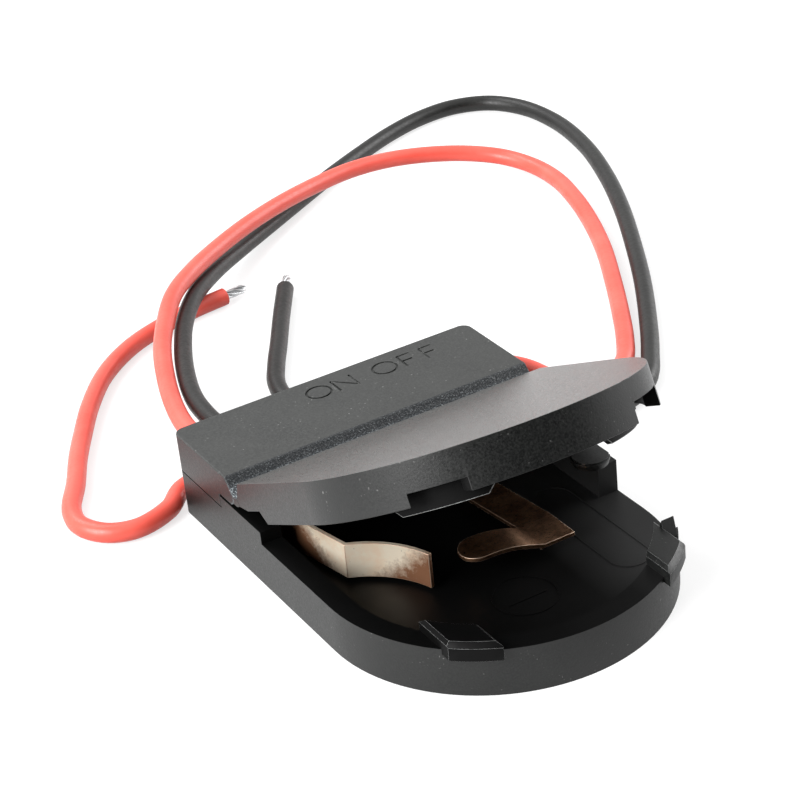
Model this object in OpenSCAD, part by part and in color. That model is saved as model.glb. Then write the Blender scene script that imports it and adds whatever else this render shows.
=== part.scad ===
// Single coin cell holder with a hinged cover lid, two contact springs,
// a small slide switch under the rear cover and two stripped leads.
// Millimetres.  X across the holder, +Y towards the leads, +Z up.
// Origin: bottom centre of the holder's box, leads left out.

/* [Housing] */
// Overall width of the housing
body_w = 25; // [24.2:0.1:28]
// Length of the housing, round front end to flat back
body_l = 35; // [34:0.1:40]
// Height of the rear cover and of the closed lid
body_h = 6.6; // [6.4:0.1:8]
// Thickness of the base floor
floor_t = 1.0; // [0.8:0.05:1.2]
// Height of the parting line and of the tray rim
part_z = 3.5; // [3.3:0.05:3.7]
// Thickness of the tray wall
wall_t = 1.6; // [1.4:0.05:1.9]
// Thickness of the walls round the switch
rear_wall_t = 1.2; // [1.0:0.05:1.4]
// Radius of the two back corners
corner_r = 0.8; // [0.5:0.1:1.2]

/* [Cell] */
// Thickness of the coin cell
cell_t = 3.2; // [2.5:0.1:3.2]

/* [Rear cover] */
// Length of the cover's flat top, back face to groove
cover_l = 8.2; // [7.6:0.1:8.6]
// Length of the cover's side skirts
cover_side_l = 6.9; // [6.5:0.1:7.3]
// Thickness of the cover's roof
roof_t = 0.9; // [0.8:0.05:1.0]
// Clearance between the raised side walls and the hinge web
web_gap = 0.5; // [0.4:0.05:0.8]

/* [Lid] */
// Thickness of the lid plate
lid_t = 0.9; // [0.7:0.05:1.1]
// Thickness of the lid skirt
skirt_t = 1.0; // [0.8:0.05:1.1]
// Width of the thin hinge web
web_w = 0.8; // [0.6:0.05:1.0]
// Thickness of the hinge web
web_t = 0.6; // [0.4:0.05:0.7]
// Angle at which the lid stands open
lid_open = 26.5; // [10:0.5:40]
// Depth of the two lid lips below the skirt
lip_drop = 0.75; // [0.4:0.05:1.0]
// Thickness of the lid lips
lip_t = 0.45; // [0.35:0.05:0.5]

/* [Catches] */
// Width of each catch block
catch_w = 2.8; // [2.2:0.1:3.2]
// Distance of the catch block's inner side from the centre plane
catch_x = 6.4; // [5.8:0.1:6.8]
// Height of the catch blocks above the rim
catch_h = 0.9; // [0.6:0.05:1.0]
// Overhang of the catch nose beyond the wall
nose_out = 0.6; // [0.3:0.05:0.8]
// Height of the fin beside the right catch
fin_h = 1.4; // [1.0:0.05:1.5]

/* [Contact springs] */
// Thickness of the spring strip
strip_t = 0.3; // [0.2:0.02:0.35]
// Width of the side contact strip
side_strip_w = 2.7; // [2.2:0.1:2.8]
// Width of the floor contact strip
floor_strip_w = 2.8; // [2.4:0.1:3.0]
// Height of the floor contact's crest above the floor
crest_h = 2.0; // [1.4:0.1:2.1]

/* [Switch] */
// Length of the switch case
sw_l = 8.6; // [8.2:0.1:9.0]
// Height of the switch case
sw_h = 3.2; // [3.0:0.1:3.4]
// Depth of the switch case
sw_d = 2.8; // [2.6:0.05:2.9]
// Thickness of the case sheet
sheet_t = 0.25; // [0.2:0.01:0.28]
// Travel of the slider
sw_travel = 2.0; // [1.6:0.1:2.2]
// Width of the slider's knob
knob_w = 1.4; // [1.2:0.05:1.6]
// Height of the slider's knob
knob_h = 1.2; // [1.0:0.05:1.3]
// Reach of the knob beyond the back face
knob_out = 1.0; // [0.6:0.1:1.4]

/* [Leads] */
// Diameter of the lead insulation
lead_d = 1.5; // [1.3:0.05:1.6]
// Diameter of the stranded core
core_d = 0.8; // [0.6:0.05:0.9]
// Length of the tinned end of each lead
tinned_l = 2.2; // [1.5:0.1:3]

/* [Clearances] */
// Gap between the closed lid and the parts under it
lid_gap = 0.15; // [0.1:0.01:0.2]
// Gap between a lead and its notch
lead_gap = 0.1; // [0.05:0.01:0.15]
// Gap round the switch and the strips where they are held
seat_gap = 0.08; // [0.05:0.01:0.1]

/* [Hidden] */
$fn = 64;
eps = 0.01;

// Main places along Y: the knob is part of the box that is centred
front_y = -(body_l + knob_out) / 2;
back_y = front_y + body_l;
half_w = body_w / 2;
cell_y = front_y + half_w;
cavity_r = half_w - wall_t;
lip_gap = 0.2;
partition_t = 0.8;

// Hinge: groove edges and the axis in the middle of the web
groove_y = back_y - cover_l;
bevel_w = 1.1;
hinge_y = groove_y - bevel_w - web_w / 2;
web_z = body_h - 1.65;
hinge_z = web_z + web_t / 2;
lid_edge_y = hinge_y - web_w / 2 - 0.9;

// Base: side skirts of the cover end here, the partition stands here
skirt_end_y = back_y - cover_side_l;
partition_y = skirt_end_y + 0.6;
high_z = web_z - web_gap;
high_y0 = hinge_y - 3.3;
lid_step_y = high_y0 - 0.5;
lid_bottom = part_z + lid_gap;
bay_y0 = partition_y + 0.05;
bay_y1 = back_y - rear_wall_t;

// Finger notch in the right wall, between the keeper and the right catch
notch_y1 = cell_y + 3.1;
notch_y0 = cell_y - 6.5;

// Catches
catch_r = half_w + nose_out;
catch_z = part_z + catch_h;
nose_z = part_z - 0.4;
fin_t = 0.8;
fin_x = catch_x + catch_w;

// Keeper over the cell's edge
keeper_r = 1.3;
keeper_t = 0.6;
keeper_z = floor_t + cell_t + 0.15;
keeper_x = cavity_r - 0.7;
keeper_y = notch_y1 - 0.2;

// Switch: its case stands on ribs against the back wall
sw_x = 3.3;
sw_y1 = bay_y1 - seat_gap;
sw_y0 = sw_y1 - sw_d;
sw_z0 = (floor_t + body_h - roof_t - sw_h) / 2;
sw_mid_z = sw_z0 + sw_h / 2;
pin_pitch = 2.5;
pin_z = sw_mid_z - 0.2;
pin_w = 0.5;
pin_t = 0.3;
pin_out = 0.75;
board_t = 0.7;
slot_gap = 0.25;
slide_x = sw_x + sw_travel / 2;

// Contact strips
side_z0 = floor_t + 0.3;
bar_y = sw_y0 - pin_out;
floor_strip_x = 3.3;
floor_strip_z = floor_t + 0.08;
side_slot_x = -half_w + 2.9;
arm_w = 1.2;
arm_y = sw_y1 - 1.5;

// Leads
red_x = -9.6;
black_x = -7.4;
lead_z = part_z;

// The leads' points are measured from the middle of the back face's foot
function from_back(points) = [for (p = points) p + [0, back_y, 0]];

// Points of the red lead
red_points = [
    [-1.9, -4.6, 4.6], [-4.5, -4.6, 4.6], [-6.6, -4.3, 4.5], [-8.4, -3.4, 4.2],
    [-9.4, -2, 3.7], [-9.6, -0.6, 3.5], [-9.6, 1.2, 3.5], [-9.5, 3.4, 3.5],
    [-9.2, 6, 3.4], [-8.5, 9, 3.4], [-7.1, 13.2, 3.3], [-5.4, 17.3, 3.5],
    [-3.1, 21.4, 3.6], [-0.6, 24.9, 3.8], [2.6, 27.9, 3.75], [6.5, 30.8, 3.6],
    [10.5, 33.1, 3.6], [15, 35.4, 3.4], [19.7, 37.5, 3], [24.1, 38.8, 2.7],
    [28.3, 39.2, 2.3], [32, 38.6, 1.9], [35.4, 37.1, 1.5], [38, 34.9, 1.1],
    [39.3, 31.9, 0.85], [39.4, 28, 0.76], [38.3, 23.3, 0.76], [36.5, 18.2, 0.76],
    [34.2, 13, 0.76], [31.5, 7.9, 0.76], [28.8, 3.1, 0.76], [26.2, -1.2, 0.76],
    [24.2, -3.9, 0.76], [22, -5.5, 0.8], [19.5, -5.5, 1], [17.6, -4.1, 1.5],
    [16.2, -2, 2.2], [14.4, -0.2, 2.4], [12, 0.9, 1.9], [9.2, 1.5, 1.1],
    [5.6, 1.8, 0.76], [0, 1.9, 0.76], [-5, 1.9, 0.76], [-8.9, 2.1, 0.76],
    [-12, 1.3, 0.76], [-13.9, -0.5, 0.76], [-16.8, -1.4, 0.76], [-18.8, -0.6, 0.76],
    [-20, 1.5, 0.76], [-19.7, 3.9, 0.76], [-17.9, 7.2, 0.76], [-16.2, 10.6, 0.76],
    [-14.3, 13.9, 0.76], [-12, 17.6, 0.76], [-8.9, 21.5, 0.76], [-5.2, 24.4, 0.76],
    [-1.2, 26.1, 0.76], [2, 26.9, 0.76], [4.9, 27.3, 0.76],
];
red_route = from_back(red_points);

// Points of the black lead
black_points = [
    [-7.4, -1.3, 3.5], [-7.4, 0.6, 3.5], [-7.4, 3, 3.5], [-7.3, 5.6, 3.4],
    [-6.8, 8.8, 3.2], [-5.4, 13.2, 2.9], [-3.4, 17.9, 2.6], [-1, 22.4, 2.5],
    [1.9, 26.3, 2.4], [5.7, 30.2, 1.85], [10, 33.8, 1.25], [14.6, 37, 0.95],
    [19.3, 40, 0.82], [24, 42.8, 0.8], [28.8, 45.4, 0.76], [33.3, 47.5, 0.76],
    [37.6, 48.8, 0.76], [41.4, 48.9, 0.76], [44.6, 47.3, 0.76], [46.4, 44, 0.76],
    [46.8, 38.8, 0.76], [45.6, 32.2, 0.76], [43.2, 25.4, 0.76], [40.1, 18.6, 0.76],
    [36.7, 12.2, 0.76], [33.4, 6.4, 0.76], [30, 1, 0.76], [26.6, -4, 0.76],
    [23.7, -7.6, 0.76], [20.4, -9.2, 0.76], [17.2, -8.4, 0.76], [15.3, -5.8, 0.76],
    [14.9, -2.4, 0.76], [14.2, 0.6, 0.76], [12.4, 2.9, 0.76], [9.6, 3.9, 0.76],
    [6.6, 4.1, 0.76], [3.8, 4.5, 0.76], [1.5, 5.9, 0.76], [0.6, 8.2, 0.76],
    [1.1, 10.8, 0.76], [2.5, 13.5, 0.76], [4.4, 16.6, 0.76], [6.8, 20.6, 0.76],
    [9.6, 25.1, 0.76],
];
black_route = from_back(black_points);

// ---- helpers ----

// Plan of the housing: round front end, small radius at the back corners
module plan(inset = 0) {
    w = half_w - inset;
    back = back_y - inset;
    r = max(corner_r - inset, 0.2);
    translate([0, cell_y]) circle(r = w, $fn = 128);
    translate([-w, cell_y]) square([2 * w, back - r - cell_y]);
    translate([-w + r, cell_y]) square([2 * (w - r), back - cell_y]);
    for (s = [-1, 1]) translate([s * (w - r), back - r]) circle(r = r);
}

// A profile drawn in Y and Z, run along X between two places
module along_x(x0, x1) {
    translate([x0, 0, 0]) rotate([90, 0, 90]) linear_extrude(x1 - x0) children();
}

// Box between two corners
module box(a, b) translate(a) cube(b - a);

// Unit normal of a plan segment
function unit(v) = v / norm(v);
function left_of(v) = [-v[1], v[0]];

// Offset of a bent line at point i, mitred at its corners
function mitre(p, i, d) =
    let (n = len(p),
         a = i == 0 ? unit(p[1] - p[0]) : unit(p[i] - p[i - 1]),
         b = i == n - 1 ? a : unit(p[i + 1] - p[i]),
         m = unit(left_of(a) + left_of(b)))
    p[i] + m * d / (m * left_of(a));

// Outline of a strip of even thickness along a bent line
function strip(p, t) = concat(
    [for (i = [0:len(p) - 1]) mitre(p, i, t / 2)],
    [for (i = [len(p) - 1:-1:0]) mitre(p, i, -t / 2)]);

// Points of an arc from angle a0 to a1
function arc(c, r, a0, a1, n) =
    [for (i = [0:n]) c + r * [cos(a0 + (a1 - a0) * i / n), sin(a0 + (a1 - a0) * i / n)]];

// Rod between two points
module rod(a, b, d) {
    v = b - a;
    translate(a)
        rotate([0, acos(v[2] / norm(v)), atan2(v[1], v[0])])
            cylinder(d = d, h = norm(v), $fn = 32);
}

// Tube swept along a route: level rings that turn with the route
function heading(p, i) = unit(p[min(i + 1, len(p) - 1)] - p[max(i - 1, 0)]);
function side_of(v) = unit(cross([0, 0, 1], v));
module tube(p, d, sides = 8) {
    n = len(p);
    points = [for (i = [0:n - 1]) for (k = [0:sides - 1])
        let (t = heading(p, i), s = side_of(t), u = cross(t, s), a = 360 * (k + 0.5) / sides)
        p[i] + d / 2 * (cos(a) * s + sin(a) * u)];
    walls = [for (i = [0:n - 2]) for (k = [0:sides - 1])
        let (a = i * sides + k, b = i * sides + (k + 1) % sides)
        each [[a, b, a + sides], [b, b + sides, a + sides]]];
    start = [for (k = [sides - 1:-1:0]) k];
    end = [for (k = [0:sides - 1]) (n - 1) * sides + k];
    polyhedron(points, [for (f = concat([start, end], walls)) [for (j = [len(f) - 1:-1:0]) f[j]]]);
}

// Turns what was drawn closed to the angle at which the lid stands
module opened(angle = lid_open) {
    translate([0, hinge_y, hinge_z]) rotate([-angle, 0, 0])
        translate([0, -hinge_y, -hinge_z]) children();
}

// ---- base ----

module tray_plan(r) {
    translate([0, cell_y]) circle(r = r, $fn = 128);
    translate([-r, cell_y]) square([2 * r, partition_y - partition_t - cell_y]);
}

// Plan of one catch block; its sides run along Y and its face follows the wall
module catch_plan(r_in, r_out) {
    intersection() {
        difference() {
            translate([0, cell_y]) circle(r = r_out, $fn = 128);
            translate([0, cell_y]) circle(r = r_in, $fn = 128);
        }
        translate([catch_x, front_y - 2]) square([catch_w, cell_y - front_y]);
    }
}

module catch_block() {
    slope = 0.35;
    difference() {
        union() {
            translate([0, 0, part_z]) linear_extrude(catch_h) catch_plan(cavity_r, catch_r);
            translate([0, 0, nose_z]) linear_extrude(part_z - nose_z + eps)
                catch_plan(half_w - 0.2, catch_r);
        }
        // sloped upper edge at the nose and at the two sides
        translate([0, cell_y, catch_z - slope]) difference() {
            cylinder(r = catch_r + 1, h = slope + eps, $fn = 128);
            cylinder(r1 = catch_r, r2 = catch_r - slope, h = slope + eps, $fn = 128);
        }
        for (x = [catch_x, catch_x + catch_w])
            translate([x, cell_y, catch_z]) rotate([0, 45, 0])
                cube([slope, body_w + 4, slope], center = true);
    }
}

// Triangular fin at the end of the wall, beside the right catch
module catch_fin() {
    y_out = cell_y - sqrt(half_w * half_w - (fin_x + fin_t) * (fin_x + fin_t));
    along_x(fin_x - 0.2, fin_x + fin_t)
        polygon([[y_out + 0.1, part_z - 0.2], [y_out + 0.1, part_z],
                 [y_out + 0.5, part_z + fin_h], [notch_y0 + 0.1, part_z],
                 [notch_y0 + 0.1, part_z - 0.2]]);
}

// Round keeper that reaches over the edge of the cell
module keeper() {
    stem_x = half_w - skirt_t - lid_gap;
    intersection() {
        union() {
            box([cavity_r - eps, notch_y1, part_z - 0.2],
                [stem_x, notch_y1 + 2.6, keeper_z + keeper_t]);
            translate([keeper_x, keeper_y, keeper_z]) cylinder(r = keeper_r, h = keeper_t);
            translate([keeper_x, keeper_y, keeper_z + keeper_t / 2])
                cylinder(r = keeper_r + 0.1, h = 0.2);
        }
        box([0, notch_y1 - 4, 0], [stem_x, notch_y1 + 5, body_h]);
    }
}

module bay_plan() {
    translate([-half_w + rear_wall_t + 0.3, bay_y0])
        square([body_w - 2 * rear_wall_t - 0.6, bay_y1 - bay_y0]);
}

// Slots through the partition and the cover's front wall for the two strips
module strip_slots() {
    y0 = skirt_end_y - 1;
    y1 = partition_y + 1;
    box([side_slot_x - strip_t / 2 - seat_gap, y0, side_z0 - seat_gap],
        [side_slot_x + strip_t / 2 + seat_gap, y1, side_z0 + side_strip_w + seat_gap]);
    box([floor_strip_x - seat_gap, y0, floor_t],
        [floor_strip_x + floor_strip_w + seat_gap, y1, floor_strip_z + strip_t + seat_gap]);
}

module lead_notches() {
    for (x = [red_x, black_x])
        translate([x, bay_y1 - 1, lead_z]) rotate([-90, 0, 0])
            cylinder(d = lead_d + 2 * lead_gap, h = rear_wall_t + 2);
}

module switch_slot() {
    box([sw_x - sw_travel / 2 - knob_w / 2 - slot_gap, bay_y1 - 1, sw_mid_z - knob_h / 2 - slot_gap],
        [sw_x + sw_travel / 2 + knob_w / 2 + slot_gap, back_y + 1, sw_mid_z + knob_h / 2 + slot_gap]);
}

module base_shell() color([0.13, 0.13, 0.13]) {
    difference() {
        union() {
            linear_extrude(part_z) plan();
            for (s = [-1, 1])
                box([s < 0 ? -half_w : half_w - wall_t, high_y0, part_z - eps],
                    [s < 0 ? -half_w + wall_t : half_w, skirt_end_y - seat_gap, high_z]);
        }
        translate([0, 0, floor_t]) linear_extrude(body_h) tray_plan(cavity_r);
        translate([0, 0, floor_t]) linear_extrude(body_h) bay_plan();
        box([half_w - 4.5, notch_y0, floor_t], [half_w + 1, notch_y1, body_h]);
        strip_slots();
        lead_notches();
        switch_slot();
    }
    catch_block();
    mirror([1, 0, 0]) catch_block();
    catch_fin();
    keeper();
    switch_ribs();
}

// Ribs that carry the switch
module switch_ribs() {
    rib_z = floor_t - eps;
    x0 = sw_x - sw_l / 2;
    x1 = sw_x + sw_l / 2;
    box([x0, sw_y1 - 0.8, rib_z], [x1, sw_y1 - 0.1, sw_z0]);
    box([x0, sw_y0 + 0.1, rib_z], [x0 + 1.2, sw_y0 + 0.6, sw_z0]);
    box([x1 - 1.2, sw_y0 + 0.1, rib_z], [x1, sw_y0 + 0.6, sw_z0]);
}

// ---- rear cover, hinge web and lid ----

module top_cover() color([0.16, 0.16, 0.16]) {
    difference() {
        intersection() {
            linear_extrude(body_h) plan();
            along_x(-half_w, half_w) polygon([
                [back_y, part_z], [skirt_end_y, part_z], [skirt_end_y, high_z + lid_gap],
                [groove_y - 0.6, high_z + lid_gap], [hinge_y + web_w / 2, web_z],
                [hinge_y + web_w / 2, web_z + web_t], [groove_y, body_h], [back_y, body_h]]);
        }
        box([-half_w + rear_wall_t, skirt_end_y + 0.6, part_z - 1],
            [half_w - rear_wall_t, bay_y1, body_h - roof_t]);
        strip_slots();
        lead_notches();
        switch_slot();
    }
}

// Section of the web, bent to the lid's angle
function web_point(t, z) =
    let (a = -lid_open * t, y = web_w / 2 - web_w * t)
    [hinge_y + y * cos(a) - z * sin(a), hinge_z + y * sin(a) + z * cos(a)];

module hinge_web() color([0.2, 0.2, 0.2]) {
    steps = 6;
    along_x(-half_w, half_w) polygon(concat(
        [for (i = [0:steps]) web_point(i / steps, web_t / 2)],
        [for (i = [steps:-1:0]) web_point(i / steps, -web_t / 2)]));
}

// Lip that slips inside the tray wall beside a catch
lip_r = cavity_r - lip_gap;
module lid_lip(a0, a1) {
    z0 = lid_bottom - lip_drop;
    corner = 0.5;
    r_mid = lip_r - lip_t / 2;
    difference() {
        translate([0, 0, z0]) linear_extrude(body_h - lid_t - z0 + eps) polygon(concat(
            arc([0, cell_y], lip_r, a0, a1, 12), arc([0, cell_y], lip_r - lip_t, a1, a0, 12)));
        // sloped lower corners
        for (e = [[a0, 1], [a1, -1]])
            translate([r_mid * cos(e[0]), cell_y + r_mid * sin(e[0]), z0]) rotate([0, 0, e[0]])
                rotate([e[1] * 45, 0, 0]) cube([2, 2 * corner * 0.7, 2 * corner * 0.7], center = true);
    }
}

// Notches in the skirt for the catches
module catch_notch(top, extra = 0) {
    box([catch_x - lid_gap, front_y - 1, 0],
        [catch_x + catch_w + lid_gap, cell_y - 4, top]);
    if (extra > 0)
        box([catch_x, front_y - 1, 0], [fin_x + fin_t + lid_gap, cell_y - 4, extra]);
}

module lid_closed() {
    inner = half_w - skirt_t;
    difference() {
        intersection() {
            linear_extrude(body_h) plan();
            along_x(-half_w, half_w) polygon([
                [front_y, lid_bottom], [lid_step_y - 0.8, lid_bottom],
                [lid_step_y, high_z + lid_gap], [hinge_y - 1.7, high_z + lid_gap],
                [hinge_y - web_w / 2, web_z], [hinge_y - web_w / 2, web_z + web_t],
                [lid_edge_y, body_h], [front_y, body_h]]);
        }
        translate([0, 0, -1]) linear_extrude(body_h - lid_t + 1) {
            translate([0, cell_y]) circle(r = inner, $fn = 128);
            translate([-inner, cell_y]) square([2 * inner, hinge_y - 2.1 - cell_y]);
        }
        catch_notch(catch_z + lid_gap, part_z + fin_h + lid_gap);
        mirror([1, 0, 0]) catch_notch(catch_z + lid_gap);
    }
    lid_lip(-150, -113);
    lid_lip(-67, -30);
}

module lid() color([0.18, 0.18, 0.18]) opened() lid_closed();

// ---- contact springs ----

// Line of the side contact in plan: switch bar, straight run, crease and bow
bow_x = 11.5;
bow_y = 6.8;
bow_r = 7.3;
side_line = concat(
    [[sw_x - pin_pitch + 0.3, bar_y], [side_slot_x + 0.6, bar_y],
     [side_slot_x, bar_y - 0.6], [side_slot_x, partition_y - 2.5], [-9.3, 4.8]],
    arc([-bow_x, -bow_y], bow_r, 64, 15, 10));

module contact_positive() color([0.80, 0.58, 0.42]) {
    difference() {
        translate([0, 0, side_z0]) linear_extrude(side_strip_w)
            polygon(strip(side_line, strip_t));
        // the bar to the switch is narrower, and leaves room over and under it
        box([-half_w, bay_y0 + 0.2, 0], [half_w, bay_y1, side_z0 + 0.7]);
        box([-half_w, bay_y0 + 0.2, pin_z + 0.3], [half_w, bay_y1, body_h]);
    }
}

// Side view of the floor contact's first leg: flat root, rise, flat end
leg_z = floor_t + 1;
floor_line = [
    [arm_y + arm_w / 2, floor_strip_z + strip_t / 2], [3.2, floor_strip_z + strip_t / 2],
    [-3.4, leg_z], [-6.4, leg_z],
];

// End view of its second leg: a bow that rises to the crest and levels out
crest_z = floor_t + crest_h;
crest_x = -0.7;
leg_tip_x = -2.2;
leg_line = concat(
    [[floor_strip_x + 0.35, leg_z]],
    [for (i = [0:8]) let (x = 2.4 + (leg_tip_x - 2.4) * i / 8)
        [x, crest_z - 0.55 * pow((x - crest_x) / 3.1, 2)]]);

module contact_negative() color([0.55, 0.33, 0.22]) {
    leg_y = -6.4;
    leg_w = 2.7;
    along_x(floor_strip_x, floor_strip_x + floor_strip_w) polygon(strip(floor_line, strip_t));
    intersection() {
        translate([0, leg_y + leg_w, 0]) rotate([90, 0, 0]) linear_extrude(leg_w)
            polygon(strip(leg_line, strip_t));
        linear_extrude(body_h) union() {
            translate([leg_tip_x + leg_w / 2, leg_y]) square([8, leg_w]);
            translate([leg_tip_x + leg_w / 2, leg_y + leg_w / 2]) circle(d = leg_w);
        }
    }
    // solder arm to the black lead
    box([black_x - 0.7, arm_y - arm_w / 2, floor_strip_z],
        [floor_strip_x + eps, arm_y + arm_w / 2, floor_strip_z + strip_t]);
}

// ---- switch ----

module switch_case() color([0.72, 0.73, 0.74]) {
    x0 = sw_x - sw_l / 2;
    x1 = sw_x + sw_l / 2;
    z1 = sw_z0 + sw_h;
    difference() {
        box([x0, sw_y0, sw_z0], [x1, sw_y1, z1]);
        box([x0 + sheet_t, sw_y0 - 1, sw_z0 + sheet_t], [x1 - sheet_t, sw_y1 - sheet_t, z1 - sheet_t]);
        switch_slot_case();
    }
}

module switch_slot_case() {
    box([sw_x - sw_travel / 2 - knob_w / 2 - slot_gap, sw_y1 - 1, sw_mid_z - knob_h / 2 - 0.12],
        [sw_x + sw_travel / 2 + knob_w / 2 + slot_gap, sw_y1 + 1, sw_mid_z + knob_h / 2 + 0.12]);
}

module pin(i, extra = 0) {
    x = sw_x + i * pin_pitch;
    z = pin_z;
    box([x - pin_w / 2 - extra, sw_y0 - pin_out + strip_t / 2 + seat_gap - extra, z - pin_t / 2 - extra],
        [x + pin_w / 2 + extra, sw_y0 + board_t + 0.15 + extra, z + pin_t / 2 + extra]);
}

module pin_pad(i) {
    x = sw_x + i * pin_pitch;
    z = pin_z;
    box([x - 0.6, sw_y0 + board_t, z - 0.5], [x + 0.6, sw_y0 + board_t + 0.15, z + 0.5]);
}

module switch_base() color([0.45, 0.30, 0.16]) {
    difference() {
        box([sw_x - sw_l / 2 + sheet_t + 0.04, sw_y0, sw_z0 + sheet_t + 0.04],
            [sw_x + sw_l / 2 - sheet_t - 0.04, sw_y0 + board_t, sw_z0 + sw_h - sheet_t - 0.04]);
        for (i = [-1:1]) pin(i, 0.02);
    }
}

module terminal(i) color([0.82, 0.82, 0.80]) {
    pin(i);
    pin_pad(i);
}

// Slider: carriage in the case with a stem that ends in the knob
slider_y0 = sw_y0 + board_t + 0.45;
slider_y1 = sw_y1 - sheet_t - 0.08;
module switch_slider() color([0.08, 0.08, 0.08]) {
    difference() {
        box([slide_x - 2.1, slider_y0, sw_mid_z - 1.25], [slide_x + 2.1, slider_y1, sw_mid_z + 1.0]);
        // pocket for the wiper
        box([slide_x - 1.7, slider_y0 - 1, sw_mid_z - 0.8], [slide_x + 1.7, slider_y0 + 0.3, sw_mid_z + 0.5]);
    }
    box([slide_x - knob_w / 2, slider_y1 - eps, sw_mid_z - knob_h / 2],
        [slide_x + knob_w / 2, back_y + knob_out, sw_mid_z + knob_h / 2]);
}

// Wiper: bent clip that bridges two pads
module switch_wiper() color([0.80, 0.62, 0.40]) {
    t = 0.12;
    y_pad = sw_y0 + board_t + 0.15 + 0.03 + t / 2;
    y_seat = slider_y0 + 0.3 - t / 2 - 0.02;
    translate([0, 0, sw_mid_z - 0.6]) linear_extrude(0.8) polygon(strip([
        [slide_x - 1.6, y_seat - 0.1], [slide_x - 1.25, y_pad], [slide_x - 0.7, y_seat],
        [slide_x + 0.7, y_seat], [slide_x + 1.25, y_pad], [slide_x + 1.6, y_seat - 0.1]], t));
}

// ---- solder joints ----

core_foot = [sw_x + 0.2, sw_y0 - 0.52, pin_z + pin_t / 2 + core_d / 2 + 0.03];
core_root = core_foot + [-5.4, 0, 0.87];

module solder_on() color([0.75, 0.76, 0.77]) {
    difference() {
        translate([sw_x - pin_pitch, bar_y + strip_t / 2 + 0.3, pin_z]) sphere(r = 0.45);
        pin(-1, 0.02);
        box([-half_w, bar_y - 2, 0], [half_w, bar_y + strip_t / 2 + 0.02, body_h]);
        box([-half_w, sw_y0 - 0.02, 0], [half_w, back_y, body_h]);
    }
}

module solder_common() color([0.75, 0.76, 0.77]) {
    difference() {
        translate([sw_x, sw_y0 - 0.5, pin_z + 0.3]) sphere(r = 0.62);
        pin(0, 0.02);
        rod(core_root, core_foot + [0.1, 0, 0], core_d + 0.04);
        box([-half_w, sw_y0 - 0.02, 0], [half_w, back_y, body_h]);
    }
}

black_foot = [black_x, arm_y, floor_strip_z + strip_t + core_d / 2 + 0.1];
black_root = [black_x, back_y - 1.3, lead_z];

module solder_negative() color([0.75, 0.76, 0.77]) {
    difference() {
        translate([black_x, arm_y, floor_strip_z + strip_t + 0.05]) sphere(r = 0.7);
        box([-half_w, 0, 0], [half_w, back_y, floor_strip_z + strip_t + 0.01]);
        rod(black_foot - unit(black_root - black_foot) * 0.1, black_root, core_d + 0.04);
    }
}

// ---- leads ----

// Free end of a route, as the tinned core beyond the insulation
module tinned_end(route) {
    n = len(route);
    rod(route[n - 1], route[n - 1] + unit(route[n - 1] - route[n - 2]) * tinned_l, core_d);
}

module red_wire() color([0.9, 0.25, 0.22]) tube(red_route, lead_d);
module black_wire() color([0.12, 0.12, 0.12]) tube(black_route, lead_d);
module red_wire_end() color([0.75, 0.76, 0.77]) tinned_end(red_route);
module black_wire_end() color([0.75, 0.76, 0.77]) tinned_end(black_route);

module red_wire_core() color([0.72, 0.45, 0.28]) rod(core_root, core_foot, core_d);
module black_wire_core() color([0.72, 0.45, 0.28]) rod(black_root, black_foot, core_d);

base_shell();
top_cover();
hinge_web();
lid();
contact_positive();
contact_negative();
switch_case();
switch_base();
switch_slider();
switch_wiper();
terminal(-1);  // terminal_on
terminal(0);  // terminal_common
terminal(1);  // terminal_off
solder_on();
solder_common();
solder_negative();
red_wire();
red_wire_core();
red_wire_end();
black_wire();
black_wire_core();
black_wire_end();
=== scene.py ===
"""Coin cell holder with a hinged lid, a slide switch and two stripped leads.

Materials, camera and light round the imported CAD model. X runs across the holder,
+Y towards the leads and +Z up. Lengths are in metres, or in millimetres where a
name, comment or docstring says so.
"""
import math

import bmesh
import bpy
from mathutils import Matrix, Vector


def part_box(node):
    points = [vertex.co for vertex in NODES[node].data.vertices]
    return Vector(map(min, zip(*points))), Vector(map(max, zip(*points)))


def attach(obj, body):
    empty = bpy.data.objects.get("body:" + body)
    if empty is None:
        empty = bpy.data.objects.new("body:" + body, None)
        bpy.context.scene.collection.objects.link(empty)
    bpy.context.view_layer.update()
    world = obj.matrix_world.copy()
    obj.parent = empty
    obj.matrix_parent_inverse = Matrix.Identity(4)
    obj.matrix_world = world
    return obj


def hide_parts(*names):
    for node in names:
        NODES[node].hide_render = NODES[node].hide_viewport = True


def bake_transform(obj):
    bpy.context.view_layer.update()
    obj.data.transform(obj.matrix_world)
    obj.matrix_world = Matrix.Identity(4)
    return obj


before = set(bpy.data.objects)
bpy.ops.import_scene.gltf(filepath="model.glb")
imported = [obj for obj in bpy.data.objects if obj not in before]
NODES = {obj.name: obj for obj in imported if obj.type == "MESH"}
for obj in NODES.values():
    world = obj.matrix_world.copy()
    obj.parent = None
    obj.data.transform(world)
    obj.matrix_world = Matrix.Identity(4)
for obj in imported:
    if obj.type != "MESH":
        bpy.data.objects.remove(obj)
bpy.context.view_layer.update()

MM = 0.001
UP = Vector((0, 0, 1))
HOLDER, LID, SLIDER = "holder", "lid", "slider"

# The housing, in millimetres, as in part.scad
HALF_W = 12.5
ROUND_END_Y = -5.5
PART_Z = 3.5
BACK_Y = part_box("base_shell")[1].y / MM
HINGE = Vector((0, 7.3, 5.25))
TURN_SHUT = Matrix.Rotation(math.radians(26.5), 3, "X")

# The leads, in millimetres, as in part.scad
LEAD_D = 1.5
CORE_D = 0.8
TINNED_L = 2.2
LOW = 0.76  # height of a lead's middle where it lies on the table
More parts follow.
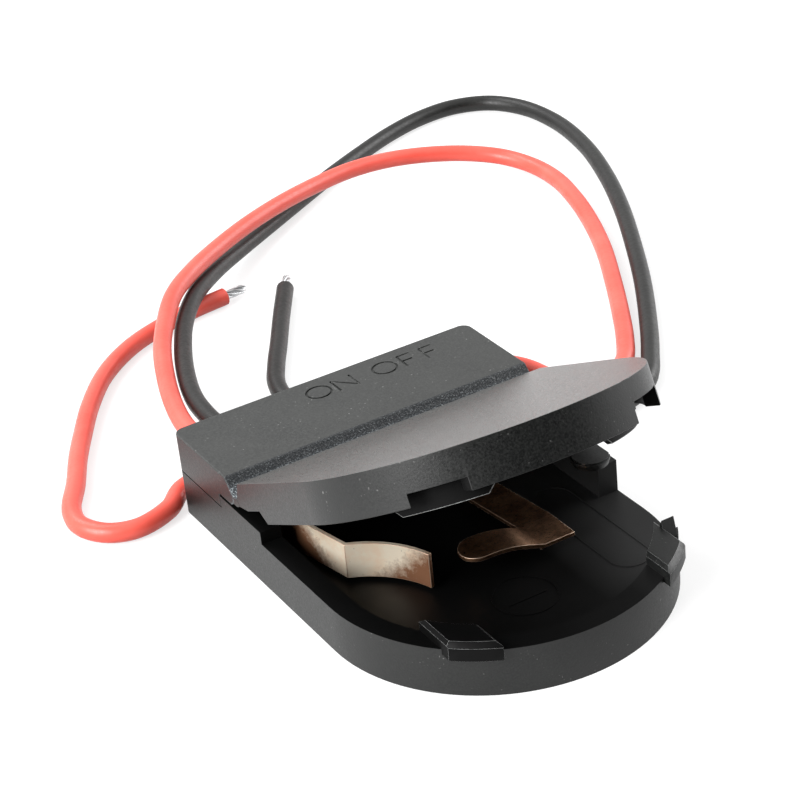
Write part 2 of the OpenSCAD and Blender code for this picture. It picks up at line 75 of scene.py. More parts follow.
# Their routes, from the middle of the foot of the back face
RED_POINTS = [
    (-1.9, -4.6, 4.6), (-4.5, -4.6, 4.6), (-6.6, -4.3, 4.5), (-8.4, -3.4, 4.2),
    (-9.4, -2, 3.7), (-9.6, -0.6, 3.5), (-9.6, 1.2, 3.5), (-9.5, 3.4, 3.5), (-9.2, 6, 3.4),
    (-8.5, 9, 3.4), (-7.1, 13.2, 3.3), (-5.4, 17.3, 3.5), (-3.1, 21.4, 3.6),
    (-0.6, 24.9, 3.8), (2.6, 27.9, 3.75), (6.5, 30.8, 3.6), (10.5, 33.1, 3.6),
    (15, 35.4, 3.4), (19.7, 37.5, 3), (24.1, 38.8, 2.7), (28.3, 39.2, 2.3), (32, 38.6, 1.9),
    (35.4, 37.1, 1.5), (38, 34.9, 1.1), (39.3, 31.9, 0.85), (39.4, 28, LOW),
    (38.3, 23.3, LOW), (36.5, 18.2, LOW), (34.2, 13, LOW), (31.5, 7.9, LOW),
    (28.8, 3.1, LOW), (26.2, -1.2, LOW), (24.2, -3.9, LOW), (22, -5.5, 0.8),
    (19.5, -5.5, 1), (17.6, -4.1, 1.5), (16.2, -2, 2.2), (14.4, -0.2, 2.4), (12, 0.9, 1.9),
    (9.2, 1.5, 1.1), (5.6, 1.8, LOW), (0, 1.9, LOW), (-5, 1.9, LOW), (-8.9, 2.1, LOW),
    (-12, 1.3, LOW), (-13.9, -0.5, LOW), (-16.8, -1.4, LOW), (-18.8, -0.6, LOW),
    (-20, 1.5, LOW), (-19.7, 3.9, LOW), (-17.9, 7.2, LOW), (-16.2, 10.6, LOW),
    (-14.3, 13.9, LOW), (-12, 17.6, LOW), (-8.9, 21.5, LOW), (-5.2, 24.4, LOW),
    (-1.2, 26.1, LOW), (2, 26.9, LOW), (4.9, 27.3, LOW),
]
BLACK_POINTS = [
    (-7.4, -1.3, 3.5), (-7.4, 0.6, 3.5), (-7.4, 3, 3.5), (-7.3, 5.6, 3.4), (-6.8, 8.8, 3.2),
    (-5.4, 13.2, 2.9), (-3.4, 17.9, 2.6), (-1, 22.4, 2.5), (1.9, 26.3, 2.4),
    (5.7, 30.2, 1.85), (10, 33.8, 1.25), (14.6, 37, 0.95), (19.3, 40, 0.82),
    (24, 42.8, 0.8), (28.8, 45.4, LOW), (33.3, 47.5, LOW), (37.6, 48.8, LOW),
    (41.4, 48.9, LOW), (44.6, 47.3, LOW), (46.4, 44, LOW), (46.8, 38.8, LOW),
    (45.6, 32.2, LOW), (43.2, 25.4, LOW), (40.1, 18.6, LOW), (36.7, 12.2, LOW),
    (33.4, 6.4, LOW), (30, 1, LOW), (26.6, -4, LOW), (23.7, -7.6, LOW), (20.4, -9.2, LOW),
    (17.2, -8.4, LOW), (15.3, -5.8, LOW), (14.9, -2.4, LOW), (14.2, 0.6, LOW),
    (12.4, 2.9, LOW), (9.6, 3.9, LOW), (6.6, 4.1, LOW), (3.8, 4.5, LOW), (1.5, 5.9, LOW),
    (0.6, 8.2, LOW), (1.1, 10.8, LOW), (2.5, 13.5, LOW), (4.4, 16.6, LOW), (6.8, 20.6, LOW),
    (9.6, 25.1, LOW),
]


def mm(*values):
    """Point given in millimetres, as a vector in metres."""
    return Vector(values) * MM


def around(angle, side, over):
    """Unit vector at an angle in the plane of two unit vectors."""
    return math.cos(angle) * side + math.sin(angle) * over


# ---------------------------------------------------------------- camera

def make_camera():
    """Camera at the photograph's place: from the front left, slightly rolled."""
    azimuth, elevation, roll = (math.radians(a) for a in (-27.88, 29.45, -6.16))
    distance, look_at = 181.2 * MM, mm(7.96, 20.39, 0)
    back = Vector((
        math.sin(azimuth) * math.cos(elevation),
        -math.cos(azimuth) * math.cos(elevation),
        math.sin(elevation),
    ))
    right = Vector((math.cos(azimuth), math.sin(azimuth), 0))
    up = back.cross(right)
    across = around(roll, right, up)
    upright = -math.sin(roll) * right + math.cos(roll) * up
    data = bpy.data.cameras.new("camera")
    data.sensor_width = 36
    data.lens = 104.8
    data.clip_start, data.clip_end = 0.01, 10
    camera = bpy.data.objects.new("camera", data)
    turn = Matrix((across, upright, back)).transposed().to_4x4()
    camera.matrix_world = Matrix.Translation(look_at + back * distance) @ turn
    bpy.context.scene.collection.objects.link(camera)
    bpy.context.scene.camera = camera


# ---------------------------------------------------------------- materials

class Nodes:
    """Builds one material's node tree. Patterns are fixed to the object's own space."""

    def __init__(self, name):
        self.material = bpy.data.materials.new(name)
        self.material.use_nodes = True
        self.tree = self.material.node_tree
        self.shader = self.tree.nodes["Principled BSDF"]
        self.place = self.add("ShaderNodeTexCoord").outputs["Object"]

    def add(self, kind, **settings):
        """New node of a kind, with its settings."""
        node = self.tree.nodes.new(kind)
        for key, value in settings.items():
            setattr(node, key, value)
        return node

    def link(self, source, target):
        """Joins an output socket to an input socket."""
        self.tree.links.new(source, target)

    def axes(self):
        """X, Y and Z of the shaded point, in metres."""
        node = self.add("ShaderNodeSeparateXYZ")
        self.link(self.place, node.inputs[0])
        return node.outputs

    def noise(self, size_mm, detail=2.0, roughness=0.5, stretch=(1, 1, 1)):
        """Noise whose blobs are about size_mm across, from 0 to 1."""
        mapping = self.add("ShaderNodeMapping")
        mapping.inputs["Scale"].default_value = stretch
        noise = self.add("ShaderNodeTexNoise")
        noise.inputs["Scale"].default_value = 1 / (size_mm * MM)
        noise.inputs["Detail"].default_value = detail
        noise.inputs["Roughness"].default_value = roughness
        self.link(self.place, mapping.inputs["Vector"])
        self.link(mapping.outputs["Vector"], noise.inputs["Vector"])
        return noise.outputs["Fac"]

    def ramp(self, source, stops):
        """Colour ramp over (position, colour) stops."""
        ramp = self.add("ShaderNodeValToRGB")
        elements = ramp.color_ramp.elements
        while len(elements) < len(stops):
            elements.new(0.5)
        for element, (position, colour) in zip(elements, stops):
            element.position = position
            element.color = (*colour, 1)
        self.link(source, ramp.inputs["Fac"])
        return ramp.outputs["Color"]

    def mask(self, source, low, high):
        """Black up to one value of the source and white from another."""
        return self.ramp(source, [(low, (0, 0, 0)), (high, (1, 1, 1))])

    def mix(self, factor, a, b):
        """Mix of two colours by a factor socket; a and b are sockets or colours."""
        node = self.add("ShaderNodeMix", data_type="RGBA")
        self.link(factor, node.inputs["Factor"])
        for value, target in ((a, node.inputs[6]), (b, node.inputs[7])):
            if isinstance(value, (tuple, list)):
                target.default_value = (*value, 1)
            else:
                self.link(value, target)
        return node.outputs[2]

    def span(self, source, low, high, start=0.0, stop=1.0):
        """Maps a value from start..stop to low..high."""
        node = self.add("ShaderNodeMapRange")
        self.link(source, node.inputs["Value"])
        limits = {"From Min": start, "From Max": stop, "To Min": low, "To Max": high}
        for name, value in limits.items():
            node.inputs[name].default_value = value
        return node.outputs["Result"]

    def math(self, operation, *values):
        """Math node; each value is a number or a socket."""
        node = self.add("ShaderNodeMath", operation=operation)
        for value, target in zip(values, node.inputs):
            if isinstance(value, (int, float)):
                target.default_value = value
            else:
                self.link(value, target)
        return node.outputs[0]

    def bump(self, height, depth_mm, strength=1.0, below=None):
        """Bump of a depth from a height socket, over another bump if one is given."""
        node = self.add("ShaderNodeBump")
        node.inputs["Strength"].default_value = strength
        node.inputs["Distance"].default_value = depth_mm * MM
        self.link(height, node.inputs["Height"])
        if below is not None:
            self.link(below, node.inputs["Normal"])
        return node.outputs["Normal"]

    def finish(self, colour=None, rough=None, normal=None, **fixed):
        """Links colour, roughness and normal, and sets the shader's own values."""
        for source, name in ((colour, "Base Color"), (rough, "Roughness"), (normal, "Normal")):
            if source is not None:
                self.link(source, self.shader.inputs[name])
        for name, value in fixed.items():
            self.shader.inputs[name.replace("_", " ")].default_value = value
        return self.material


def shaded(colour, share):
    """A colour made darker or lighter by a factor."""
    return tuple(c * share for c in colour)


def moulded(name, dark, light, rough, grain_mm=0.16, depth_mm=0.006, speck=0.22, sparse=0.78,
            gloss=0.5):
    """Moulded plastic: fine eroded grain, soft mottling and a few pale specks of dust.

    speck is the dust's tone, and sparse the noise value from which it shows.
    """
    n = Nodes(name)
    mottle = n.ramp(n.noise(3.5, 3), [(0.35, dark), (0.68, light)])
    dust = n.mask(n.noise(0.16, 0), sparse, sparse + 0.06)
    patches = n.mask(n.noise(1.7, 1), 0.52, 0.62)
    grain = n.noise(grain_mm, 3, 0.62)
    plain = n.mix(n.span(grain, 0, 1, 0.40, 0.70), mottle, shaded(light, 1.8))
    colour = n.mix(n.math("MULTIPLY", dust, patches), plain, (speck, speck, speck * 0.97))
    normal = n.bump(grain, depth_mm, 1.0, n.bump(n.noise(1.3, 2), 0.02, 0.5))
    roughness = n.span(grain, rough - 0.08, rough + 0.1, 0.3, 0.7)
    return n.finish(colour, roughness, normal, Specular_IOR_Level=gloss)


def sparkling(name):
    """Coarse crystalline finish in the groove by the hinge, with painted light towards its bottom
    and painted shade on its upper part.
    """
    n = Nodes(name)
    crystals = n.noise(0.12, 2, 0.7)
    # painted light and shade: the groove's lower part is paler, its upper part darker
    low = n.span(n.axes()["Z"], 1, 0, 5.85 * MM, 6.2 * MM)
    painted_shade_tone = n.ramp(crystals, [
        (0.44, (0.004, 0.006, 0.008)), (0.56, (0.018, 0.020, 0.022)), (0.68, (0.09, 0.10, 0.105)),
    ])
    pale = n.ramp(crystals, [
        (0.40, (0.02, 0.024, 0.028)), (0.54, (0.07, 0.08, 0.088)), (0.66, (0.38, 0.42, 0.44)),
    ])
    normal = n.bump(crystals, 0.05, 1.0, n.bump(n.noise(0.35, 2), 0.04, 0.8))
    return n.finish(n.mix(low, painted_shade_tone, pale), n.span(crystals, 0.5, 0.3, 0.4, 0.7), normal)


def polished(name, dark, light, rough):
    """Smooth moulded plastic, paler towards the right-hand wall as painted light."""
    n = Nodes(name)
    # painted light: the tone grows paler from x 4 mm to x 10 mm
    painted_light_share = n.span(n.axes()["X"], 0, 1, 4 * MM, 10 * MM)
    roughness = n.span(n.noise(5.0, 1), rough - 0.04, rough + 0.06, 0.3, 0.7)
    tone = n.ramp(painted_light_share, [(0, dark), (1, light)])
    return n.finish(tone, roughness, Specular_IOR_Level=0.1)


def strip_metal(name, pale, deep, rough, spots=0.66, metal=1.0, brown=None):
    """Rolled spring strip: drawn scratches, stains and worn spots.

    spots is the noise value from which worn spots show. brown is a colour and, in
    mm, the place along Y and the height where the strip stays brightest; it browns
    away from there, along the strip and down.
    """
    n = Nodes(name)
    streaks = n.noise(0.25, 3, 0.6, (1, 6, 6))
    stains = n.noise(1.3, 4, 0.65)
    base = n.ramp(stains, [(0.34, deep), (0.58, pale)])
    worn = n.mask(n.noise(0.35, 2, 0.6), spots, spots + 0.05)
    if brown:
        tone, bright_y, bright_z = brown
        axes = n.axes()
        along = n.math("ABSOLUTE", n.math("SUBTRACT", axes["Y"], bright_y * MM))
        down = n.math("SUBTRACT", bright_z * MM, axes["Z"])
        away = n.math("ADD", down, along)
        speckled = n.math("MULTIPLY_ADD", n.noise(0.5, 4, 0.75), 3 * MM, away)
        base = n.mix(n.span(speckled, 0, 1, 3.6 * MM, 5.5 * MM), base, tone)
    colour = n.mix(worn, base, shaded(deep, 0.35))
    normal = n.bump(streaks, 0.004, 0.5, n.bump(stains, 0.02, 0.35))
    roughness = n.span(streaks, rough - 0.06, rough + 0.12, 0.3, 0.7)
    return n.finish(colour, roughness, normal, Metallic=metal)


def tinned(name, colour, rough):
    """Tin, solder or plating: pale, slightly uneven metal."""
    n = Nodes(name)
    cloud = n.noise(0.5, 3)
    tone = n.ramp(cloud, [(0.3, shaded(colour, 0.75)), (0.7, colour)])
    roughness = n.span(cloud, rough - 0.08, rough + 0.1, 0.3, 0.7)
    return n.finish(tone, roughness, n.bump(cloud, 0.02, 0.6), Metallic=1.0)


def insulation(name, dark, light, rough, gloss=0.5):
    """Soft vinyl insulation: slight scuffs and shallow waves."""
    n = Nodes(name)
    tone = n.ramp(n.noise(3.0, 3), [(0.3, dark), (0.7, light)])
    scuff = n.noise(0.3, 3, 0.6)
    normal = n.bump(scuff, 0.012, 0.6, n.bump(n.noise(1.2, 1), 0.03, 0.5))
    roughness = n.span(scuff, rough - 0.07, rough + 0.1, 0.3, 0.7)
    return n.finish(tone, roughness, normal, Specular_IOR_Level=gloss)


def fibre_board(name):
    """Brown phenolic paper of the switch's terminal board."""
    n = Nodes(name)
    weave = n.noise(0.2, 4, 0.7, (1, 4, 1))
    tone = n.ramp(weave, [(0.3, (0.16, 0.08, 0.03)), (0.7, (0.34, 0.19, 0.08))])
    return n.finish(tone, normal=n.bump(weave, 0.02, 0.6), Roughness=0.6)


# ---------------------------------------------------------------- mesh helpers

def piece_from(mesh, name, smooth=35):
    """Turns a bmesh into a linked object, smooth up to an angle in degrees."""
    bmesh.ops.recalc_face_normals(mesh, faces=mesh.faces)
    data = bpy.data.meshes.new(name)
    mesh.to_mesh(data)
    mesh.free()
    data.shade_smooth()
    data.set_sharp_from_angle(angle=math.radians(smooth))
    piece = bpy.data.objects.new(name, data)
    bpy.context.scene.collection.objects.link(piece)
    return piece


def apply_modifiers(piece):
    """Makes the piece's modifiers part of its mesh."""
    bpy.context.view_layer.update()
    evaluated = piece.evaluated_get(bpy.context.evaluated_depsgraph_get())
    data = bpy.data.meshes.new_from_object(evaluated)
    piece.modifiers.clear()
    piece.data = data


def add_ring(mesh, centre, radius, side, over, sides):
    """Ring of vertices round a centre, in the plane of two unit vectors."""
    return [
        mesh.verts.new(centre + radius * around(math.tau * k / sides, side, over))
        for k in range(sides)
    ]


def skin(mesh, rings):
    """Joins rings of vertices into a tube and closes its ends."""
    for a, b in zip(rings, rings[1:]):
        for k in range(len(a)):
            after = (k + 1) % len(a)
            mesh.faces.new((a[k], a[after], b[after], b[k]))
    mesh.faces.new(reversed(rings[0]))
    mesh.faces.new(rings[-1])


def bands(name, strokes, width, foot, top):
    """Flat bands of one width along lists of plan points, between two heights, in mm.

    Each band starts slightly above the one before, so that no two feet coincide.
    """
    mesh = bmesh.new()
    for order, path in enumerate(strokes):
        closed = path[0] == path[-1]
        line = [Vector(q) for q in (path[:-1] if closed else path)]
        count = len(line)
        low = foot + 0.004 * order
        columns = []
        for i, here in enumerate(line):
            before = line[i - 1] if closed or i else here
            after = line[(i + 1) % count] if closed or i < count - 1 else here
            run = (after - before).normalized()
            side = Vector((-run.y, run.x)) * width / 2
            columns.append([
                mesh.verts.new(mm(*(here + grow * side), z))
                for grow, z in ((1, low), (-1, low), (-1, top), (1, top))
            ])
        for i in range(count if closed else count - 1):
            a, b = columns[i], columns[(i + 1) % count]
            for k in range(4):
                mesh.faces.new((a[k], a[(k + 1) % 4], b[(k + 1) % 4], b[k]))
        if not closed:
            mesh.faces.new(columns[0])
            mesh.faces.new(columns[-1])
    return piece_from(mesh, name)


def loop(x, y, rx, ry, straight=0.0, steps=40):
    """Closed plan line: an ellipse, or an obround with its sides lengthened along Y."""
    line = []
    for k in range(steps):
        turn = math.tau * (k + 0.5) / steps
        shift = straight / 2 if math.sin(turn) > 0 else -straight / 2
        line.append((x + rx * math.cos(turn), y + shift + ry * math.sin(turn)))
    return [*line, line[0]]


def engrave(piece, cutter):
    """Cuts a piece with a helper object, then removes the helper."""
    cut = piece.modifiers.new("cut", "BOOLEAN")
    cut.operation = "DIFFERENCE"
    cut.solver = "EXACT"
    cut.use_self = True
    cut.object = cutter
    apply_modifiers(piece)
    bpy.data.objects.remove(cutter)
    even_shading(piece)


def join(piece, extra):
    """Adds another object's mesh to a piece, and removes that object."""
    mesh = bmesh.new()
    mesh.from_mesh(piece.data)
    mesh.from_mesh(extra.data)
    mesh.to_mesh(piece.data)
    mesh.free()
    bpy.data.objects.remove(extra)


def paint(piece, choose):
    """Sets each face's place in the finishes from its centre in mm, normal and old place."""
    for face in piece.data.polygons:
        face.material_index = choose(face.center / MM, face.normal, face.material_index)


# ---------------------------------------------------------------- leads

def spline(points, steps):
    """Smooth line through points (centripetal Catmull-Rom), steps to a span."""
    padded = [2 * points[0] - points[1], *points, 2 * points[-1] - points[-2]]
    line = []
    for a, b, c, d in zip(padded, padded[1:], padded[2:], padded[3:]):
        t1 = (b - a).length ** 0.5
        t2 = t1 + (c - b).length ** 0.5
        t3 = t2 + (d - c).length ** 0.5
        for k in range(steps):
            t = t1 + (t2 - t1) * k / steps
            p = a.lerp(b, t / t1)
            q = b.lerp(c, (t - t1) / (t2 - t1))
            r = c.lerp(d, (t - t2) / (t3 - t2))
            last = q.lerp(r, (t - t1) / (t3 - t1))
            line.append(p.lerp(q, t / t2).lerp(last, (t - t1) / (t2 - t1)))
    return [*line, points[-1].copy()]


def make_tube(name, line, radius):
    """Round tube along a line."""
    mesh = bmesh.new()
    rings = []
    for i, point in enumerate(line):
        heading = (line[min(i + 1, len(line) - 1)] - line[max(i - 1, 0)]).normalized()
        side = UP.cross(heading).normalized()
        rings.append(add_ring(mesh, point, radius, side, heading.cross(side), sides=16))
    skin(mesh, rings)
    return piece_from(mesh, name, smooth=50)


def make_strands(name, start, heading, strands=6, steps=10):
    """Tinned end of a lead: strands laid round a middle one and soldered."""
    side = UP.cross(heading).normalized()
    over = heading.cross(side)
    radius = CORE_D * MM / 6
    mesh = bmesh.new()
    for s in range(strands + 1):
        lay = 0 if s == strands else CORE_D * MM / 2 - radius * 1.02
        reach = TINNED_L * MM * (0.99 - 0.03 * (s % 3))
        rings = []
        for i in range(steps + 1):
            share = i / steps
            turn = math.tau * (s / strands + 0.35 * share)
            centre = start + heading * reach * share + lay * around(turn, side, over)
            blunt = 1.0 if i < steps else 0.6
            rings.append(add_ring(mesh, centre, radius * blunt, side, over, sides=8))
        skin(mesh, rings)
    return piece_from(mesh, name, smooth=60)


def make_lead(name, points, finish, metal):
    """One lead with its tinned end."""
    route = [mm(x, y + BACK_Y, z) for x, y, z in points]
    line = spline(route, 6)
    tube = make_tube(name + "_sleeve", line, LEAD_D * MM / 2 * 0.995)
    tube.data.materials.append(finish)
    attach(tube, HOLDER)
    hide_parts(name)
    heading = (route[-1] - route[-2]).normalized()
    end = make_strands(name + "_strands", route[-1] - heading * 0.1 * MM, heading)
    end.data.materials.append(metal)
    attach(end, HOLDER)
    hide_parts(name + "_end")


# ---------------------------------------------------------------- mouldings

def even_shading(piece):
    """Smooth shading that keeps large flat faces flat."""
    piece.data.shade_smooth()
    piece.data.set_sharp_from_angle(angle=math.radians(30))
    weighted = piece.modifiers.new("normals", "WEIGHTED_NORMAL")
    weighted.keep_sharp = True
    weighted.weight = 60
    apply_modifiers(piece)


def round_edges(piece, radius_mm, edge):
    """Rounds a piece's sharp edges; edge is their place in its finishes, or -1."""
    bevel = piece.modifiers.new("edges", "BEVEL")
    bevel.width = radius_mm * MM
    bevel.segments = 2
    bevel.limit_method = "ANGLE"
    bevel.angle_limit = math.radians(28)
    bevel.use_clamp_overlap = True
    bevel.miter_outer = "MITER_ARC"
    bevel.material = edge
    apply_modifiers(piece)
    even_shading(piece)


def tidy_copy(node, name, finishes, radius_mm=0.12, edge=-1):
    """Copy of a CAD node with merged flat faces, rounded edges and its finishes."""
    mesh = bmesh.new()
    mesh.from_mesh(NODES[node].data)
    bmesh.ops.remove_doubles(mesh, verts=mesh.verts, dist=0.002 * MM)
    bmesh.ops.dissolve_limit(
        mesh, angle_limit=math.radians(0.6), verts=mesh.verts, edges=mesh.edges,
        use_dissolve_boundaries=False,
    )
    piece = piece_from(mesh, name)
    for finish in finishes:
        piece.data.materials.append(finish)
    if radius_mm:
        round_edges(piece, radius_mm, edge)
    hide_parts(node)
    return piece


def outward(point):
    """Distance of a point outside the housing's plan outline, in millimetres."""
    if point.y < ROUND_END_Y:
        return math.hypot(point.x, point.y - ROUND_END_Y) - HALF_W
    return max(abs(point.x) - HALF_W, point.y - BACK_Y)


# Where the finishes change, in millimetres
CATCH_FOOT_Z, CATCH_Y, CATCH_X = 2.9, -10, (6.2, 10.1)
KEEPER_X, KEEPER_Y = 7, 2
COVER_FRONT_Y, COVER_FOOT_Z, COVER_TOP_Z = 9.1, 4.6, 6
LID_BACK_Y = 5.4

TRAY_OUT, TRAY_IN, TRAY_EDGE = range(3)


def tray_finish(p, normal, old):
    """Polished inside, grained outside; the catches keep their pale edges, a painted highlight.
    """
    by_catch = p.z > CATCH_FOOT_Z and p.y < CATCH_Y and CATCH_X[0] < abs(p.x) < CATCH_X[1]
    if by_catch and (p.z > PART_Z + 0.05 or outward(p) > 0.02):
        if old == TRAY_EDGE:
            return old
        return TRAY_IN if p.x < 0 else TRAY_OUT
    on_keeper = p.z > PART_Z + 0.02 and p.x > KEEPER_X and p.y < KEEPER_Y
    underside = normal.z < -0.7 and p.z < 0.1
    return TRAY_OUT if outward(p) > -0.1 or on_keeper or underside else TRAY_IN


def make_tray():
    """Base moulding. Its floor is marked with a minus sign in a ring and a bare frame."""
    tray = tidy_copy("base_shell", "tray", (TRAY, GLOSS, EDGE_HIGHLIGHT), edge=TRAY_EDGE)
    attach(tray, HOLDER)
    paint(tray, tray_finish)
    ring = loop(0.1, -9.2, 2.25, 2.25)
    minus = [(-1.4, -9.6), (1.5, -9.6)]
    frame_line = loop(8.3, -5, 1.5, 1.5, straight=9)
    marks = bands("floor_marks", [ring, minus, frame_line], 0.14, 0.98, 1.05)
    marks.data.materials.append(GLOSS)
    for face in marks.data.polygons:
        face.material_index = TRAY_IN
    join(tray, marks)


COVER_TOP, COVER_SIDE, COVER_GROOVE = range(3)


def cover_finish(p, normal, old):
    """Grey on top as painted sheen, grained round it and sparkling towards the groove."""
    if p.y < COVER_FRONT_Y and normal.y < -0.2 and p.z > COVER_FOOT_Z:
        return COVER_GROOVE
    return COVER_TOP if normal.z > 0.3 and p.z > COVER_TOP_Z else COVER_SIDE


# Strokes of each letter in a square of side 1
LETTERS = {
    "O": [loop(0.5, 0.5, 0.5, 0.5)],
    "N": [[(0, 0), (0, 1)], [(0, 1), (1, 0)], [(1, 0), (1, 1)]],
    "F": [[(0, 0), (0, 1)], [(0, 1), (1, 1)], [(0, 0.5), (0.8, 0.5)]],
}
# The words ON and OFF: each letter, its left side and its width, in millimetres
WORDS = (("O", -2.45, 1.9), ("N", -0.1, 1.55), ("O", 3.15, 1.9), ("F", 5.6, 1.1), ("F", 7.5, 1.1))
WORDS_Y, LETTER_H = 14.1, 1.7


def make_cover():
    """Rear cover with its engraved words."""
    cover = tidy_copy("top_cover", "cover", (COVER, GRAINED, GROOVE))
    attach(cover, HOLDER)
    paint(cover, cover_finish)
    strokes = [
        [(x + wide * u, WORDS_Y + LETTER_H * v) for u, v in path]
        for letter, x, wide in WORDS for path in LETTERS[letter]
    ]
    engrave(cover, bands("letter_cutter", strokes, 0.18, 6.47, 6.8))


LID_TOP, LID_SIDE, LID_IN, LID_GROOVE, LID_EDGE = range(5)


def lid_finish(p, normal, old):
    """Finishes of the lid, told apart in the place that it has when shut."""
    p, normal = HINGE + TURN_SHUT @ (p - HINGE), TURN_SHUT @ normal
    if p.y > LID_BACK_Y and normal.y > 0.2:
        return LID_GROOVE
    # painted sheen: faces looking up take the grey top, the others the near-black grained sides
    if normal.z > 0.5:
        return LID_TOP
    # the lip's rounded edges keep their pale painted highlight
    if p.z < PART_Z + 0.1:
        return old if old == LID_EDGE else LID_SIDE
    return LID_SIDE if outward(p) > -0.12 else LID_IN


WEB_GROOVE, WEB_END = range(2)


def make_lid():
    """Flip lid and the hinge web."""
    lid = tidy_copy(
        "lid", "flap", (LID_TOP_SHEEN, GRAINED, GLOSS, GROOVE, EDGE_HIGHLIGHT), edge=LID_EDGE,
    )
    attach(lid, LID)
    paint(lid, lid_finish)
    web = tidy_copy("hinge_web", "web", (GROOVE, GRAINED), radius_mm=0)
    paint(web, lambda p, normal, old: WEB_END if abs(normal.x) > 0.7 else WEB_GROOVE)
    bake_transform(web)


def make_springs_and_knob():
    """The two contact springs and the switch's knob."""
    # painted light on the side spring's bronze, painted shade on the floor spring's
    for node, name, slot, finish in (
        ("contact_positive", "side_spring", "bright_copper", PAINTED_LIT_BRONZE),
        ("contact_negative", "floor_spring", "dark_copper", PAINTED_SHADE_BRONZE),
    ):
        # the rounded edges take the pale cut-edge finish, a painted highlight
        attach(tidy_copy(node, name, (finish, EDGE_GLINT), radius_mm=0.04, edge=1), HOLDER)
    knob = tidy_copy("switch_slider", "slider_knob", (GLOSS,), radius_mm=0.08)
    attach(knob, SLIDER)


# ---------------------------------------------------------------- studio

FLOOR_GLOW = 0.72  # what the floor adds to its lit tone for the camera and in reflections
WORLD_LIGHT = 0.85


def make_world():
    """White surroundings, at full white to the camera."""
    world = bpy.data.worlds.new("studio")
    world.use_nodes = True
    bpy.context.scene.world = world
    nodes, links = world.node_tree.nodes, world.node_tree.links
    background = nodes["Background"]
    background.inputs["Color"].default_value = (1, 1, 1, 1)
    path = nodes.new("ShaderNodeLightPath")
    strength = nodes.new("ShaderNodeMath")
    strength.operation = "MULTIPLY_ADD"
    strength.inputs[1].default_value = 1 - WORLD_LIGHT
    strength.inputs[2].default_value = WORLD_LIGHT
    links.new(path.outputs["Is Camera Ray"], strength.inputs[0])
    links.new(strength.outputs[0], background.inputs["Strength"])


def make_floor():
    """White floor that keeps the shadow. Reflections see it dimmer at the front right."""
    mesh = bmesh.new()
    bmesh.ops.create_circle(mesh, cap_ends=True, radius=1.5, segments=64)
    floor = piece_from(mesh, "floor")
    n = Nodes("floor_paper")
    path = n.add("ShaderNodeLightPath")
    axes = n.axes()
    forward = n.math("MULTIPLY_ADD", axes["X"], 0.5, n.math("MULTIPLY", axes["Y"], -0.87))
    dimmed = n.span(forward, FLOOR_GLOW, 0.28, 15 * MM, 23 * MM)
    mirrored = n.math("MULTIPLY", path.outputs["Is Glossy Ray"], dimmed)
    seen = n.math("MULTIPLY", path.outputs["Is Camera Ray"], FLOOR_GLOW)
    n.link(n.math("MAXIMUM", seen, mirrored), n.shader.inputs["Emission Strength"])
    floor.data.materials.append(n.finish(
        Base_Color=(0.36, 0.36, 0.36, 1), Roughness=0.9, Specular_IOR_Level=0.1,
        Emission_Color=(1, 1, 1, 1),
    ))


def make_card():
    """Black card in front, outside the picture, that darkens the skirt's reflection."""
    mesh = bmesh.new()
    corners = [(-0.6, -0.5, 0.03), (0.7, -0.5, 0.03), (0.7, -0.5, 0.75), (-0.6, -0.5, 0.75)]
    mesh.faces.new([mesh.verts.new(corner) for corner in corners])
    card = piece_from(mesh, "black_card")
    card.visible_camera = False
    n = Nodes("black_card")
    card.data.materials.append(n.finish(Base_Color=(0.01, 0.01, 0.01, 1), Roughness=1.0))


def make_lamps():
    """Three soft round lamps aimed at the holder."""
    for name, place, size, watts in (
        ("back", (-0.08, 0.30, 0.38), 0.26, 0.9),
        ("left", (-0.42, -0.07, 0.25), 0.35, 3.6),
        ("right", (0.46, 0.02, 0.20), 0.35, 1.4),
    ):
        light = bpy.data.lights.new(name, "AREA")
        light.shape = "DISK"
        light.size = size
        light.energy = watts
        lamp = bpy.data.objects.new(name, light)
        lamp.location = place
        aim = Vector((0, 0.01, 0)) - lamp.location
        lamp.rotation_euler = aim.to_track_quat("-Z", "Y").to_euler()
        bpy.context.scene.collection.objects.link(lamp)


# ---------------------------------------------------------------- build

make_camera()

TIN = tinned("tinned_metal", (0.66, 0.67, 0.68), 0.32)
RED = insulation("red_vinyl", (0.84, 0.095, 0.065), (0.91, 0.13, 0.095), 0.38)
BLACK = insulation(
    "black_vinyl", (0.006, 0.006, 0.0055), (0.013, 0.013, 0.012), 0.42, gloss=0.44,
)
make_lead("red_wire", RED_POINTS, RED, TIN)
make_lead("black_wire", BLACK_POINTS, BLACK, TIN)

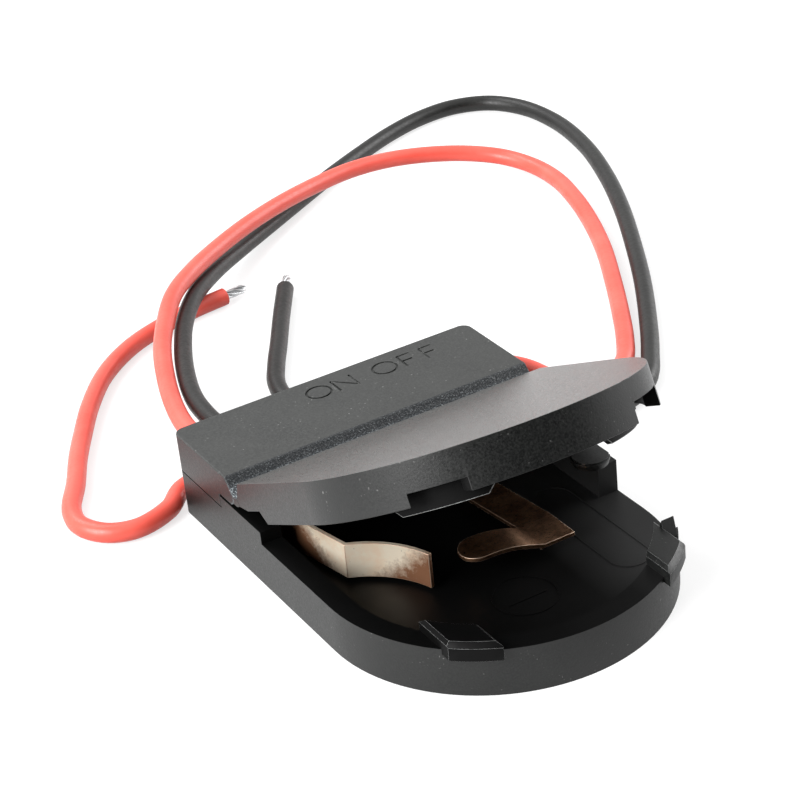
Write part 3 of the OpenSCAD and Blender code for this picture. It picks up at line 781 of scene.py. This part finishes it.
ERODED = {"grain_mm": 0.14, "depth_mm": 0.010, "speck": 0.12, "sparse": 0.77}
GRAINED = moulded(
    "grained_black", (0.003, 0.0034, 0.0034), (0.006, 0.0064, 0.006), 0.38, **ERODED,
)
TRAY = moulded(
    "tray_black", (0.004, 0.0044, 0.0044), (0.008, 0.0084, 0.008), 0.42, gloss=0.44, **ERODED,
)
# painted sheen: the cover's top is grey, its sides take the near-black grained finish
COVER = moulded("cover_top_painted_sheen", (0.019, 0.020, 0.0195), (0.025, 0.026, 0.025), 0.46)
# painted sheen: the lid's top is grey, its sides take the near-black grained finish
LID_TOP_SHEEN = moulded(
    "lid_top_painted_sheen", (0.038, 0.038, 0.037), (0.046, 0.045, 0.043), 0.32, depth_mm=0.004, sparse=0.8,
)
# painted highlight: pale rounded edges on the tray's catches and the lid's lip
EDGE_HIGHLIGHT = moulded("edge_painted_highlight", (0.14, 0.145, 0.145), (0.24, 0.245, 0.24), 0.34, sparse=0.74)
# polished black, with painted light that makes it paler towards the right-hand wall
GLOSS = polished("polished_black", (0.002, 0.002, 0.002), (0.028, 0.028, 0.028), 0.48)
GROOVE = sparkling("groove_sparkle")
# painted light: paler, half matt bronze, so the upright side spring looks lit like a face turned
# up to the light
PAINTED_LIT_BRONZE = strip_metal(
    "bronze_painted_lit", (1.0, 0.88, 0.70), (0.98, 0.78, 0.58), 0.5, spots=0.74, metal=0.55,
    brown=((0.27, 0.125, 0.065), -0.24, 2.8),
)
# painted shade: the floor spring's bronze is a darker copy of the side spring's
PAINTED_SHADE_BRONZE = strip_metal("bronze_painted_shade", (0.62, 0.34, 0.19), (0.33, 0.17, 0.09), 0.3, spots=0.70)
# painted highlight: pale rounded cut edges of the springs
EDGE_GLINT = strip_metal("cut_edge_painted_highlight", (0.95, 0.72, 0.55), (0.8, 0.55, 0.40), 0.5)
COPPER = strip_metal("bare_copper", (0.85, 0.48, 0.30), (0.55, 0.28, 0.16), 0.3)
STEEL = tinned("plated_sheet", (0.62, 0.63, 0.64), 0.28)
BOARD = fibre_board("phenolic_board")

make_tray()
make_cover()
make_lid()
make_springs_and_knob()

# CAD nodes that keep their own mesh
FINISH_OF = {
    "switch_wiper": PAINTED_LIT_BRONZE, "switch_case": STEEL, "switch_base": BOARD,
    "terminal_on": TIN, "terminal_common": TIN, "terminal_off": TIN,
    "solder_on": TIN, "solder_common": TIN, "solder_negative": TIN,
    "red_wire_core": COPPER, "black_wire_core": COPPER,
}
for node_name, node_finish in FINISH_OF.items():
    materials = NODES[node_name].data.materials
    materials.clear()
    materials.append(node_finish)

bpy.context.scene.view_settings.view_transform = "Standard"
make_world()
make_floor()
make_card()
make_lamps()
